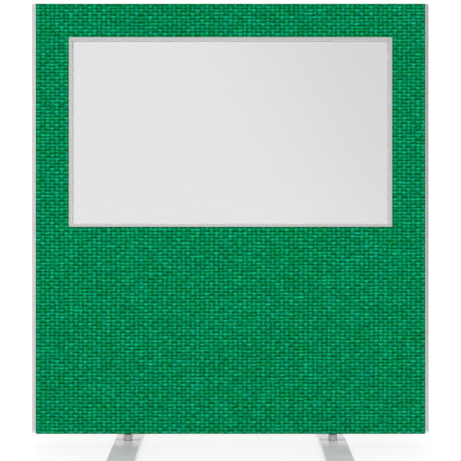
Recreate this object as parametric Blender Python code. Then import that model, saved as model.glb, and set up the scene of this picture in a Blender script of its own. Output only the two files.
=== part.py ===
"""A free-standing fabric partition screen with a clear upper window, on two stabilising feet.

The screen is a timber frame with an infill, faced on both sides with thin board, wrapped in one
length of woven cloth and closed at both sides by extruded aluminium trims. The window is an acrylic
pane in a rubber gasket, held by mitred aluminium beads. Each foot is a tapered steel bar on a
collar. It turns about the bolt that clamps it to the bottom rail and stands on two levelling glides.

Frame: +X is right, -Y is the front, +Z is up. The origin is on the floor below the middle.
Running this file builds the model in the open scene. All sizes are in metres.
"""

import math

import bmesh
import bpy
from mathutils import Matrix, Vector

# ---- clearances ---------------------------------------------------------------------------------
GAP = 0.0003  # between two pieces that touch
TURNING_GAP = 0.0004  # round a shaft that something turns on

# ---- the panel as a whole -----------------------------------------------------------------------
PANEL_WIDTH = 1.200  # over both edge trims
PANEL_HEIGHT = 1.300  # cloth to cloth
FLOOR_GAP = 0.040  # from the floor to the underside of the cloth

# ---- layers of the panel, from the middle outwards ----------------------------------------------
FRAME_THICKNESS = 0.032
BOARD_THICKNESS = 0.004
CLOTH_THICKNESS = 0.0012
CLOTH_TURN_UNDER = 0.010  # the strip of cloth stapled under the bottom rail
CLOTH_FOLD_RADIUS = 0.003

# ---- timber frame -------------------------------------------------------------------------------
BOTTOM_RAIL_HEIGHT = 0.060
TOP_RAIL_HEIGHT = 0.040
STILE_WIDTH = 0.040
WINDOW_MEMBER = 0.030  # head, sill and jambs round the window
TIMBER_CHAMFER = 0.001

# ---- window -------------------------------------------------------------------------------------
WINDOW_SIDE_BORDER = 0.100  # cloth between an edge trim and the glazing beads
WINDOW_TOP_BORDER = 0.102
WINDOW_HEIGHT = 0.572  # over the glazing beads
BEAD_FACE = 0.0085  # the width of a bead that shows from the front
BEAD_OVERLAP = 0.0028  # the part of that width that lies on the cloth
BEAD_WALL = 0.0015
BEAD_EDGE = 0.0004  # chamfer on the two edges that show
PANE_THICKNESS = 0.004
PANE_CHAMFER = 0.0003
GASKET_WEB = 0.0012  # rubber round the rim of the pane
GASKET_LIP = 0.0015  # rubber on each face of the pane
GASKET_DEPTH = 0.0048  # from the outside of the web to the edge of the lips

# ---- edge trims ---------------------------------------------------------------------------------
TRIM_FACE = 0.012  # the width that shows from the front
TRIM_PROUD = 0.0007  # how far a trim stands out past the cloth, front and back
TRIM_RADIUS = 0.009
TRIM_WALL = 0.0014
CHAMBER_FLAT = 0.0005  # the least flat side that a trim's chamber keeps before its corner
SLOT_WIDTH = 0.0084  # the linking slot down the outer face
SLOT_DEPTH = 0.007
TOP_CAP_THICKNESS = 0.003
BOTTOM_CAP_THICKNESS = 0.009
BOTTOM_CAP_RISE = 0.003  # from the underside of the cloth up to the cap
BOTTOM_CAP_OVERHANG = 0.001
BOTTOM_CAP_RADIUS = 0.005
TOP_CAP_RADIUS = 0.001
SPIGOT_LENGTH = 0.008  # the two plugs of a cap that go into the trim's chambers
SPIGOT_WIDTH = 0.006
SPIGOT_PLAY = 0.0019  # from a spigot to the outer wall of its chamber

# ---- wood screws --------------------------------------------------------------------------------
SCREW_DIAMETER = 0.004
SCREW_HEAD_PLAY = 0.0005  # from a head to each side of the linking slot
SCREW_HEAD_HEIGHT = 0.0024
SCREW_CROWN = ((0.0, 1.0), (0.55, 1.0), (0.88, 0.72), (1.0, 0.30))  # shares of radius and height
SCREW_LENGTH = 0.022  # under the head
SCREW_POINT = 0.005
SCREW_RECESS = (0.0042, 0.0010, 0.0012)  # length, width and depth of each arm of the cross
TRIM_SCREWS = 3
TRIM_SCREW_MARGIN = 0.120  # from each end of a trim to its first screw

# ---- feet ---------------------------------------------------------------------------------------
FOOT_OFFSET = 0.311  # from the middle of the screen to each foot
FOOT_WIDTH = 0.080
FOOT_LENGTH = 0.500
FOOT_THICKNESS = 0.012  # under the collar
FOOT_TIP_THICKNESS = 0.008
FOOT_FLAT_LENGTH = 0.070  # the level stretch under the collar, before the taper begins
FOOT_CORNER_RADIUS = 0.016
FOOT_EDGE = 0.0015  # chamfer along the top edges
COLLAR_DIAMETER = 0.027
COLLAR_CHAMFER = 0.0008
FRICTION_WASHER_DIAMETER = 0.024
FRICTION_WASHER_THICKNESS = 0.001
MOUNT_PLATE_LENGTH = 0.070
MOUNT_PLATE_THICKNESS = 0.003
MOUNT_SCREW_SPACING = 0.050

# ---- pivot bolt ---------------------------------------------------------------------------------
BOLT_DIAMETER = 0.008
BOLT_HEAD_DIAMETER = 0.013
BOLT_HEAD_HEIGHT = 0.0045
BOLT_CROWN = ((0.0, 1.0), (0.60, 1.0), (0.92, 0.55), (1.0, 0.20))
BOLT_HEX = 0.005  # across the flats of its socket
BOLT_HEX_DEPTH = 0.003
BOLT_WASHER_DIAMETER = 0.016
BOLT_WASHER_THICKNESS = 0.0012
BOLT_SEAT_DEPTH = 0.0070  # counterbore under the foot
INSERT_DIAMETER = 0.012
INSERT_LENGTH = 0.020
BOLT_PAST_INSERT = 0.001

# ---- levelling glides ---------------------------------------------------------------------------
GLIDE_INSET = 0.035  # from the tip of a foot to the middle of its glide
GLIDE_DIAMETER = 0.030
GLIDE_HEIGHT = 0.006
GLIDE_EDGE = 0.0015
STUD_DIAMETER = 0.008
STUD_LENGTH = 0.006  # the part that is inside the foot

# ---- how round things are -----------------------------------------------------------------------
FINE_SEGMENTS = 48
ROUND_SEGMENTS = 32
SCREW_SEGMENTS = 16
HEX_SEGMENTS = 6
ARC_STEPS = 6
SHARP_ANGLE = 35  # in degrees: edges sharper than this stay sharp on a round piece
DRILL_TURN = 3  # in degrees: keeps a hole's facets off the edges of the piece that it cuts

# ---- what follows from the sizes above ----------------------------------------------------------
PANEL_BOTTOM = FLOOR_GAP
PANEL_TOP = FLOOR_GAP + PANEL_HEIGHT
CORE_BOTTOM = PANEL_BOTTOM + CLOTH_THICKNESS + GAP
CORE_TOP = PANEL_TOP - CLOTH_THICKNESS - GAP
TRIM_INNER_X = PANEL_WIDTH / 2 - TRIM_FACE
CORE_HALF_WIDTH = TRIM_INNER_X - GAP
STILE_INNER_X = CORE_HALF_WIDTH - STILE_WIDTH

BOARD_INNER_Y = FRAME_THICKNESS / 2 + GAP
BOARD_OUTER_Y = BOARD_INNER_Y + BOARD_THICKNESS
CLOTH_INNER_Y = BOARD_OUTER_Y + GAP
CLOTH_OUTER_Y = CLOTH_INNER_Y + CLOTH_THICKNESS
BEAD_INNER_Y = CLOTH_OUTER_Y + GAP
BEAD_OUTER_Y = BEAD_INNER_Y + BEAD_WALL
GASKET_OUTER_Y = PANE_THICKNESS / 2 + GAP + GASKET_LIP
BEAD_LIP_Y = GASKET_OUTER_Y + GAP

OPENING_HALF_WIDTH = TRIM_INNER_X - WINDOW_SIDE_BORDER - BEAD_OVERLAP
OPENING_TOP = PANEL_TOP - WINDOW_TOP_BORDER - BEAD_OVERLAP
OPENING_BOTTOM = PANEL_TOP - WINDOW_TOP_BORDER - WINDOW_HEIGHT + BEAD_OVERLAP
OPENING_HALF_HEIGHT = (OPENING_TOP - OPENING_BOTTOM) / 2
OPENING_MIDDLE = (OPENING_TOP + OPENING_BOTTOM) / 2

TRIM_DEPTH = 2 * (CLOTH_OUTER_Y + TRIM_PROUD)
TRIM_CORNER = min(TRIM_RADIUS, TRIM_FACE - TRIM_WALL - CHAMBER_FLAT)
TRIM_TOP = PANEL_TOP - TOP_CAP_THICKNESS - GAP
TRIM_BOTTOM = PANEL_BOTTOM + BOTTOM_CAP_RISE + BOTTOM_CAP_THICKNESS + GAP
SLOT_FLOOR = TRIM_FACE - SLOT_DEPTH
SPIGOT_DEPTH = TRIM_FACE - 2 * TRIM_WALL - GAP - SPIGOT_PLAY
SCREW_HEAD_DIAMETER = SLOT_WIDTH - 2 * SCREW_HEAD_PLAY

FOOT_BOTTOM = GLIDE_HEIGHT + GAP
FOOT_TOP = FOOT_BOTTOM + FOOT_THICKNESS
PLATE_TOP = CORE_BOTTOM - GAP
PLATE_BOTTOM = PLATE_TOP - MOUNT_PLATE_THICKNESS
FRICTION_WASHER_TOP = PLATE_BOTTOM - GAP
COLLAR_TOP = FRICTION_WASHER_TOP - FRICTION_WASHER_THICKNESS - GAP
COLLAR_BOTTOM = FOOT_TOP + GAP
BOLT_HOLE_RADIUS = BOLT_DIAMETER / 2 + TURNING_GAP
BOLT_WASHER_TOP = FOOT_BOTTOM + BOLT_SEAT_DEPTH - GAP
BOLT_HEAD_TOP = BOLT_WASHER_TOP - BOLT_WASHER_THICKNESS - GAP
BOLT_TOP = CORE_BOTTOM + INSERT_LENGTH + BOLT_PAST_INSERT
SCREW_HOLE_RADIUS = SCREW_DIAMETER / 2 + GAP
PLATE_HALF_DEPTH = CLOTH_OUTER_Y - CLOTH_TURN_UNDER - GAP

# ---- looks: base colour, metallic, roughness ----------------------------------------------------
LOOKS = {
    "timber": ((0.62, 0.45, 0.26), 0.0, 0.70),
    "board": ((0.42, 0.30, 0.18), 0.0, 0.75),
    "infill": ((0.72, 0.70, 0.58), 0.0, 0.95),
    "cloth": ((0.002, 0.227, 0.080), 0.0, 0.90),
    "aluminium": ((0.62, 0.63, 0.63), 0.9, 0.38),
    "grey_plastic": ((0.55, 0.56, 0.56), 0.0, 0.50),
    "clear_plastic": ((0.80, 0.80, 0.81), 0.0, 0.15),
    "rubber": ((0.10, 0.10, 0.10), 0.0, 0.80),
    "silver_paint": ((0.50, 0.50, 0.51), 0.4, 0.42),
    "zinc": ((0.60, 0.60, 0.58), 1.0, 0.35),
    "nylon": ((0.05, 0.05, 0.05), 0.0, 0.55),
}


# ---- helpers ------------------------------------------------------------------------------------
def paint(thing, look):
    colour, metallic, roughness = LOOKS[look]
    material = bpy.data.materials.new(f"{look}_{thing.name}")
    material.use_nodes = True
    shader = material.node_tree.nodes["Principled BSDF"]
    shader.inputs["Base Color"].default_value = (*colour, 1.0)
    shader.inputs["Metallic"].default_value = metallic
    shader.inputs["Roughness"].default_value = roughness
    material.diffuse_color = (*colour, 1.0)
    thing.data.materials.clear()
    thing.data.materials.append(material)


def add_object(name, mesh, look, place=(0, 0, 0), parent=None):
    thing = bpy.data.objects.new(name, mesh)
    thing.location = place
    thing.parent = parent
    bpy.context.scene.collection.objects.link(thing)
    if look is not None:
        paint(thing, look)
    return thing


def mesh_of(bm, name, round_piece=False):
    bmesh.ops.recalc_face_normals(bm, faces=bm.faces)
    mesh = bpy.data.meshes.new(name)
    bm.to_mesh(mesh)
    bm.free()
    if round_piece:
        mesh.shade_smooth()
        mesh.set_sharp_from_angle(angle=math.radians(SHARP_ANGLE))
    return mesh


def box_mesh(name, size):
    bm = bmesh.new()
    bmesh.ops.create_cube(bm, size=1.0)
    bmesh.ops.scale(bm, vec=Vector(size), verts=bm.verts)
    return mesh_of(bm, name)


def block(name, low, high, look, chamfer=0.0):
    """A rectangular solid between two corners, with its edges eased if a chamfer is given."""
    low, high = Vector(low), Vector(high)
    thing = add_object(name, box_mesh(name, high - low), look, (low + high) / 2)
    if chamfer:
        ease = thing.modifiers.new("eased_edges", "BEVEL")
        ease.width = chamfer
        ease.segments = 1
    return thing


def arc(centre, radius, start, end, steps=ARC_STEPS):
    """Points of an arc in a plane, its angles in degrees and both ends included."""
    angles = [math.radians(start + (end - start) * i / steps) for i in range(steps + 1)]
    return [(centre[0] + radius * math.cos(a), centre[1] + radius * math.sin(a)) for a in angles]


def prism_mesh(name, loops, length, to_place, round_piece=False):
    """An outline, with holes if it has more than one loop, pulled out along a third direction.

    to_place turns (first, second, along) into a point, so the outline may lie in any plane.
    """
    bm = bmesh.new()
    edges = []
    for loop in loops:
        verts = [bm.verts.new(to_place(a, b, 0.0)) for a, b in loop]
        edges += [bm.edges.new(pair) for pair in zip(verts, verts[1:] + verts[:1])]
    bmesh.ops.triangle_fill(bm, use_beauty=True, use_dissolve=False, edges=edges)
    pulled = bmesh.ops.extrude_face_region(bm, geom=bm.faces[:])["geom"]
    moved = [item for item in pulled if isinstance(item, bmesh.types.BMVert)]
    shift = Vector(to_place(0.0, 0.0, length)) - Vector(to_place(0.0, 0.0, 0.0))
    bmesh.ops.translate(bm, vec=shift, verts=moved)
    return mesh_of(bm, name, round_piece)


def sideways(a, b, along):
    """Takes an outline in the YZ plane and pulls it along X."""
    return (along, a, b)


def turned_mesh(name, profile, segments):
    """A profile of (radius, height) points turned about Z. A ring's profile closes on itself."""
    bm = bmesh.new()
    verts = [bm.verts.new((radius, 0.0, height)) for radius, height in profile]
    solid = profile[0][0] == 0.0
    ends = verts[1:] if solid else verts[1:] + verts[:1]
    edges = [bm.edges.new(pair) for pair in zip(verts, ends)]
    bmesh.ops.spin(
        bm, geom=verts + edges, cent=(0, 0, 0), axis=(0, 0, 1), angle=math.tau, steps=segments,
        use_merge=True,
    )
    bmesh.ops.remove_doubles(bm, verts=bm.verts, dist=1e-6)
    return mesh_of(bm, name, round_piece=True)


def ring_profile(inner, outer, low, high, chamfer=0.0):
    if not chamfer:
        return [(inner, low), (outer, low), (outer, high), (inner, high)]
    return [
        (inner, low), (outer - chamfer, low), (outer, low + chamfer),
        (outer, high - chamfer), (outer - chamfer, high), (inner, high),
    ]


def rod_profile(radius, low, high):
    return [(0.0, low), (radius, low), (radius, high), (0.0, high)]


def as_tool(thing):
    """Hides a shape that only cuts or extends another one."""
    thing.hide_render = True
    thing.display_type = "WIRE"
    return thing


def combine(thing, tool, operation="DIFFERENCE"):
    step = thing.modifiers.new(f"{operation.lower()}_{tool.name}", "BOOLEAN")
    step.operation = operation
    step.object = tool
    step.solver = "EXACT"


def cutting_box(name, low, high):
    return as_tool(block(name, low, high, None))


def cutting_rod(name, radius, low, high, place, parent=None, segments=ROUND_SEGMENTS):
    mesh = turned_mesh(name, rod_profile(radius, low, high), segments)
    mesh.transform(Matrix.Rotation(math.radians(DRILL_TURN), 4, "Z"))
    return as_tool(add_object(name, mesh, None, place, parent))


def finished_mesh(thing):
    """The mesh of an object with its modifiers applied, for pieces that share one shape."""
    bpy.context.view_layer.update()
    seen = thing.evaluated_get(bpy.context.evaluated_depsgraph_get())
    return bpy.data.meshes.new_from_object(seen)


def empty_at(name, place):
    holder = bpy.data.objects.new(name, None)
    holder.location = place
    bpy.context.scene.collection.objects.link(holder)
    return holder


# ---- timber frame and infill --------------------------------------------------------------------
def across_frame(name, left, right, bottom, top, look="timber", chamfer=TIMBER_CHAMFER):
    """A member or a slab of infill that fills the thickness of the frame."""
    half = FRAME_THICKNESS / 2
    return block(name, (left, -half, bottom), (right, half, top), look, chamfer)


def build_frame():
    """Two full-height stiles with the rails and the window members between them."""
    inner = STILE_INNER_X - GAP
    left = across_frame("left_stile", -CORE_HALF_WIDTH, -STILE_INNER_X, CORE_BOTTOM, CORE_TOP)
    right = across_frame("right_stile", STILE_INNER_X, CORE_HALF_WIDTH, CORE_BOTTOM, CORE_TOP)
    rail_top = CORE_BOTTOM + BOTTOM_RAIL_HEIGHT
    bottom_rail = across_frame("bottom_rail", -inner, inner, CORE_BOTTOM, rail_top)
    across_frame("top_rail", -inner, inner, CORE_TOP - TOP_RAIL_HEIGHT, CORE_TOP)
    head_top = OPENING_TOP + WINDOW_MEMBER
    sill_bottom = OPENING_BOTTOM - WINDOW_MEMBER
    across_frame("window_head", -inner, inner, OPENING_TOP, head_top)
    across_frame("window_sill", -inner, inner, sill_bottom, OPENING_BOTTOM)
    low, high = OPENING_BOTTOM + GAP, OPENING_TOP - GAP
    jamb = OPENING_HALF_WIDTH + WINDOW_MEMBER
    across_frame("left_window_jamb", -jamb, -OPENING_HALF_WIDTH, low, high)
    across_frame("right_window_jamb", OPENING_HALF_WIDTH, jamb, low, high)
    return left, right, bottom_rail


def build_infill():
    """Acoustic slabs in the four spaces of the frame."""
    inner = STILE_INNER_X - GAP
    beside = OPENING_HALF_WIDTH + WINDOW_MEMBER + GAP
    above_rail = CORE_BOTTOM + BOTTOM_RAIL_HEIGHT + GAP
    under_sill = OPENING_BOTTOM - WINDOW_MEMBER - GAP
    over_head = OPENING_TOP + WINDOW_MEMBER + GAP
    under_rail = CORE_TOP - TOP_RAIL_HEIGHT - GAP
    low, high = OPENING_BOTTOM + GAP, OPENING_TOP - GAP
    across_frame("lower_infill", -inner, inner, above_rail, under_sill, "infill", 0.0)
    across_frame("upper_infill", -inner, inner, over_head, under_rail, "infill", 0.0)
    across_frame("left_infill", -inner, -beside, low, high, "infill", 0.0)
    across_frame("right_infill", beside, inner, low, high, "infill", 0.0)


# ---- facings ------------------------------------------------------------------------------------
def window_cutter(name):
    reach = 2 * CLOTH_OUTER_Y
    low = (-OPENING_HALF_WIDTH, -reach, OPENING_BOTTOM)
    high = (OPENING_HALF_WIDTH, reach, OPENING_TOP)
    return cutting_box(name, low, high)


def build_boards():
    cutter = window_cutter("board_window_cutter")
    for name, near, far in (
        ("front_face_board", -BOARD_OUTER_Y, -BOARD_INNER_Y),
        ("back_face_board", BOARD_INNER_Y, BOARD_OUTER_Y),
    ):
        low = (-CORE_HALF_WIDTH, near, CORE_BOTTOM)
        high = (CORE_HALF_WIDTH, far, CORE_TOP)
        combine(block(name, low, high, "board"), cutter)


def cloth_outline():
    """The cloth seen from the side: up the front, over the top, down the back and turned under."""
    out, within = CLOTH_OUTER_Y, CLOTH_INNER_Y
    top, under_top = PANEL_TOP, PANEL_TOP - CLOTH_THICKNESS
    bottom, over_bottom = PANEL_BOTTOM, PANEL_BOTTOM + CLOTH_THICKNESS
    turn = CLOTH_OUTER_Y - CLOTH_TURN_UNDER
    fold = CLOTH_FOLD_RADIUS
    half = [(turn, over_bottom), (turn, bottom), (out, bottom)]
    half += arc((out - fold, top - fold), fold, 0, 90)
    other = [(-y, z) for y, z in reversed(half)]
    inside = [(-within, over_bottom), (-within, under_top), (within, under_top), (within, over_bottom)]
    return half + other + inside


def build_cloth():
    width = 2 * CORE_HALF_WIDTH
    mesh = prism_mesh("cloth", [cloth_outline()], width, sideways)
    cloth = add_object("fabric_cover", mesh, "cloth", (-CORE_HALF_WIDTH, 0, 0))
    combine(cloth, window_cutter("cloth_window_cutter"))


# ---- window -------------------------------------------------------------------------------------
def bead_profile():
    """A channel section: (distance in from the edge of the opening, distance from mid panel)."""
    sight = BEAD_FACE - BEAD_OVERLAP
    return [
        (-BEAD_OVERLAP, BEAD_INNER_Y), (-BEAD_OVERLAP, BEAD_OUTER_Y - BEAD_EDGE),
        (-BEAD_OVERLAP + BEAD_EDGE, BEAD_OUTER_Y), (sight - BEAD_EDGE, BEAD_OUTER_Y),
        (sight, BEAD_OUTER_Y - BEAD_EDGE), (sight, BEAD_LIP_Y), (GAP, BEAD_LIP_Y),
        (GAP, BEAD_LIP_Y + BEAD_WALL), (sight - BEAD_WALL, BEAD_LIP_Y + BEAD_WALL),
        (sight - BEAD_WALL, BEAD_INNER_Y),
    ]


def build_bead(name, half_length, along, inward, outward, place):
    """A bead with mitred ends, so each point of its section stops at its own length."""
    bm = bmesh.new()
    ends = []
    for side in (-1, 1):
        ring = []
        for inset, depth in bead_profile():
            reach = half_length - inset - GAP
            ring.append(bm.verts.new(along * side * reach + inward * inset + outward * depth))
        ends.append(ring)
    bmesh.ops.bridge_loops(bm, edges=[
        bm.edges.new((ring[i], ring[i - 1])) for ring in ends for i in range(len(ring))
    ])
    for ring in ends:
        bm.faces.new(ring)
    add_object(name, mesh_of(bm, name), "aluminium", place)


def build_beads():
    x, z = Vector((1, 0, 0)), Vector((0, 0, 1))
    wide, tall = OPENING_HALF_WIDTH, OPENING_HALF_HEIGHT
    for face, outward in (("front", Vector((0, -1, 0))), ("back", Vector((0, 1, 0)))):
        for side, half, along, inward in (
            ("top", wide, x, -z), ("bottom", wide, x, z), ("left", tall, z, x), ("right", tall, z, -x),
        ):
            reach = tall if along == x else wide
            place = Vector((0, 0, OPENING_MIDDLE)) - inward * reach
            build_bead(f"{face}_bead_{side}", half, along, inward, outward, place)


def build_pane():
    rim = GAP + GASKET_WEB + GAP
    wide, tall = OPENING_HALF_WIDTH - rim, OPENING_HALF_HEIGHT - rim
    half = PANE_THICKNESS / 2
    low = (-wide, -half, OPENING_MIDDLE - tall)
    high = (wide, half, OPENING_MIDDLE + tall)
    block("window_pane", low, high, "clear_plastic", PANE_CHAMFER)


def build_gasket():
    """A rubber channel round the rim of the pane."""
    def around(inset, half):
        wide, tall = OPENING_HALF_WIDTH - inset, OPENING_HALF_HEIGHT - inset
        low = (-wide, -half, OPENING_MIDDLE - tall)
        return low, (wide, half, OPENING_MIDDLE + tall)

    gasket = block("pane_gasket", *around(GAP, GASKET_OUTER_Y), "rubber")
    sight = cutting_box("gasket_sight_cutter", *around(GAP + GASKET_DEPTH, 2 * GASKET_OUTER_Y))
    groove = around(GAP + GASKET_WEB, PANE_THICKNESS / 2 + GAP)
    combine(gasket, sight)
    combine(gasket, cutting_box("gasket_groove_cutter", *groove))


# ---- screws -------------------------------------------------------------------------------------
def screw_mesh():
    """A pan-head wood screw that points down from the underside of its head, at height 0."""
    shank, head = SCREW_DIAMETER / 2, SCREW_HEAD_DIAMETER / 2
    profile = [(head * across, SCREW_HEAD_HEIGHT * up) for across, up in SCREW_CROWN]
    profile += [(head, 0.0), (shank, 0.0), (shank, SCREW_POINT - SCREW_LENGTH), (0.0, -SCREW_LENGTH)]
    blank = add_object("screw_blank", turned_mesh("screw_blank", profile, SCREW_SEGMENTS), None)
    length, width, depth = SCREW_RECESS
    for name, size in (("arm_a", (length, width)), ("arm_b", (width, length))):
        low = (-size[0] / 2, -size[1] / 2, SCREW_HEAD_HEIGHT - depth)
        high = (size[0] / 2, size[1] / 2, SCREW_HEAD_HEIGHT + depth)
        combine(blank, cutting_box(f"screw_{name}", low, high))
    mesh = finished_mesh(blank)
    bpy.data.objects.remove(blank)
    return mesh


def add_screw(name, mesh, place, into, holed):
    """Puts a screw at the seat of its head and drills what it passes through."""
    turn = Vector((0, 0, -1)).rotation_difference(Vector(into)).to_euler()
    screw = add_object(name, mesh.copy(), "zinc", place)
    screw.rotation_euler = turn
    deep = SCREW_LENGTH + GAP
    drill = cutting_rod(f"{name}_drill", SCREW_HOLE_RADIUS, -deep, SCREW_HEAD_HEIGHT, place)
    drill.rotation_euler = turn
    for thing in holed:
        combine(thing, drill)


# ---- edge trims ---------------------------------------------------------------------------------
def trim_outline(overhang=0.0, slotted=True):
    """The section of a trim: (distance out from the cloth, distance from mid panel)."""
    half, out, radius = TRIM_DEPTH / 2, TRIM_FACE + overhang, TRIM_CORNER
    side = [(0.0, half)] + arc((out - radius, half - radius), radius, 90, 0)
    if slotted:
        side += [(out, SLOT_WIDTH / 2), (SLOT_FLOOR, SLOT_WIDTH / 2)]
    return side + [(a, -b) for a, b in reversed(side)]


def chamber_outline():
    """The hollow between the slot and the rounded corner."""
    half, radius = TRIM_DEPTH / 2 - TRIM_WALL, TRIM_CORNER - TRIM_WALL
    out = TRIM_FACE - TRIM_WALL
    near = SLOT_WIDTH / 2 + TRIM_WALL
    return [(TRIM_WALL, near), (TRIM_WALL, half)] + arc(
        (out - radius, half - radius), radius, 90, 0
    ) + [(out, near)]


def mirrored_across(side):
    """Takes an outline to the left or the right edge of the screen."""
    return lambda a, b, along: (side * a, b, along)


def build_cap(name, side, low, high, overhang, radius, rounded_end):
    """A cap that closes a trim, with its outer rim rounded and two spigots in the chambers."""
    bm = bmesh.new()
    outline = trim_outline(overhang, slotted=False)
    flat_end = low if rounded_end == high else high
    inward = 1 if rounded_end > flat_end else -1
    levels = [(flat_end, 0.0)]
    for step in range(ARC_STEPS + 1):
        angle = math.pi / 2 * step / ARC_STEPS
        level = rounded_end - inward * radius * (1 - math.sin(angle))
        levels.append((level, radius * (1 - math.cos(angle))))
    half, out = TRIM_DEPTH / 2, TRIM_FACE + overhang
    rings = []
    for level, inset in levels:
        ring = []
        for a, b in outline:
            near = a * (out - inset) / out
            ring.append(bm.verts.new((side * near, b * (half - inset) / half, level)))
        rings.append(ring)
    for lower, upper in zip(rings, rings[1:]):
        for i in range(len(lower)):
            bm.faces.new((lower[i - 1], lower[i], upper[i], upper[i - 1]))
    bm.faces.new(rings[0])
    bm.faces.new(rings[-1])
    cap = add_object(name, mesh_of(bm, name), "grey_plastic", (side * TRIM_INNER_X, 0, 0))
    middle = SLOT_WIDTH / 2 + TRIM_WALL + GAP + SPIGOT_WIDTH / 2
    near = TRIM_WALL + GAP
    root = flat_end + inward * GAP
    tip = flat_end - inward * SPIGOT_LENGTH
    for front in (-1, 1):
        x = sorted((side * (TRIM_INNER_X + near), side * (TRIM_INNER_X + near + SPIGOT_DEPTH)))
        y = sorted((front * (middle - SPIGOT_WIDTH / 2), front * (middle + SPIGOT_WIDTH / 2)))
        z = sorted((root, tip))
        spigot = cutting_box(f"{name}_spigot_{front}", (x[0], y[0], z[0]), (x[1], y[1], z[1]))
        combine(cap, spigot, "UNION")


def build_trims(stiles, screw):
    for label, side, stile in (("left", -1, stiles[0]), ("right", 1, stiles[1])):
        chambers = [chamber_outline(), [(a, -b) for a, b in chamber_outline()]]
        loops = [trim_outline()] + chambers
        mesh = prism_mesh("trim", loops, TRIM_TOP - TRIM_BOTTOM, mirrored_across(side), True)
        place = (side * TRIM_INNER_X, 0, TRIM_BOTTOM)
        trim = add_object(f"{label}_edge_trim", mesh, "aluminium", place)
        first = TRIM_BOTTOM + TRIM_SCREW_MARGIN
        last = TRIM_TOP - TRIM_SCREW_MARGIN
        for i in range(TRIM_SCREWS):
            height = first + (last - first) * i / (TRIM_SCREWS - 1)
            seat = (side * (TRIM_INNER_X + SLOT_FLOOR + GAP), 0, height)
            add_screw(f"{label}_trim_screw_{i + 1}", screw, seat, (-side, 0, 0), (trim, stile))
        cap_bottom = PANEL_BOTTOM + BOTTOM_CAP_RISE
        build_cap(
            f"{label}_bottom_cap", side, cap_bottom, cap_bottom + BOTTOM_CAP_THICKNESS,
            BOTTOM_CAP_OVERHANG, BOTTOM_CAP_RADIUS, cap_bottom,
        )
        cap_low = PANEL_TOP - TOP_CAP_THICKNESS
        build_cap(f"{label}_top_cap", side, cap_low, PANEL_TOP, 0.0, TOP_CAP_RADIUS, PANEL_TOP)


# ---- feet ---------------------------------------------------------------------------------------
def foot_stations():
    """(distance along the foot, half width, thickness) from the back tip to the front tip."""
    half, radius = FOOT_LENGTH / 2, FOOT_CORNER_RADIUS
    flat = FOOT_FLAT_LENGTH / 2
    corner = arc((half - radius, FOOT_WIDTH / 2 - radius), radius, 90, 0)
    ahead = [(flat, FOOT_WIDTH / 2)] + corner

    def thickness(y):
        share = (y - flat) / (half - flat)
        return FOOT_THICKNESS + (FOOT_TIP_THICKNESS - FOOT_THICKNESS) * share

    front = [(-y, wide, thickness(y)) for y, wide in ahead]
    return list(reversed(front)) + [(-y, wide, thick) for y, wide, thick in front]


def foot_plate_mesh(name):
    """A flat bar lofted through its stations, thinner at the tips, with its top edges chamfered."""
    bm = bmesh.new()
    rings = []
    for y, wide, top in sorted(foot_stations()):
        ring = [(-wide, 0.0), (wide, 0.0), (wide, top - FOOT_EDGE), (wide - FOOT_EDGE, top)]
        ring += [(-wide + FOOT_EDGE, top), (-wide, top - FOOT_EDGE)]
        rings.append([bm.verts.new((x, y, z)) for x, z in ring])
    for near, far in zip(rings, rings[1:]):
        for i in range(len(near)):
            bm.faces.new((near[i - 1], near[i], far[i], far[i - 1]))
    bm.faces.new(rings[0])
    bm.faces.new(rings[-1])
    return mesh_of(bm, name)


def glide_mesh(name):
    """A nylon base moulded on a short threaded stud, its sole at height 0."""
    base, stud = GLIDE_DIAMETER / 2, STUD_DIAMETER / 2
    tip = FOOT_BOTTOM + STUD_LENGTH
    profile = [
        (0.0, 0.0), (base - GLIDE_EDGE, 0.0), (base, GLIDE_EDGE), (base, GLIDE_HEIGHT - GLIDE_EDGE),
        (base - GLIDE_EDGE, GLIDE_HEIGHT), (stud, GLIDE_HEIGHT), (stud, tip), (0.0, tip),
    ]
    return turned_mesh(name, profile, ROUND_SEGMENTS)


def bolt_mesh(name):
    """A button-head bolt that points up, with a hexagonal socket below."""
    shank, head = BOLT_DIAMETER / 2, BOLT_HEAD_DIAMETER / 2
    low, seat = BOLT_HEAD_TOP - BOLT_HEAD_HEIGHT, BOLT_HEAD_TOP
    profile = [(head * across, seat - BOLT_HEAD_HEIGHT * down) for across, down in BOLT_CROWN]
    profile += [(head, seat), (shank, seat), (shank, BOLT_TOP), (0.0, BOLT_TOP)]
    blank = add_object("bolt_blank", turned_mesh(name, profile, ROUND_SEGMENTS), None)
    corner = BOLT_HEX / math.sqrt(3)
    socket = cutting_rod(
        "bolt_socket", corner, low - BOLT_HEX, low + BOLT_HEX_DEPTH, (0, 0, 0), segments=HEX_SEGMENTS
    )
    combine(blank, socket)
    mesh = finished_mesh(blank)
    bpy.data.objects.remove(blank)
    return mesh


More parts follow.
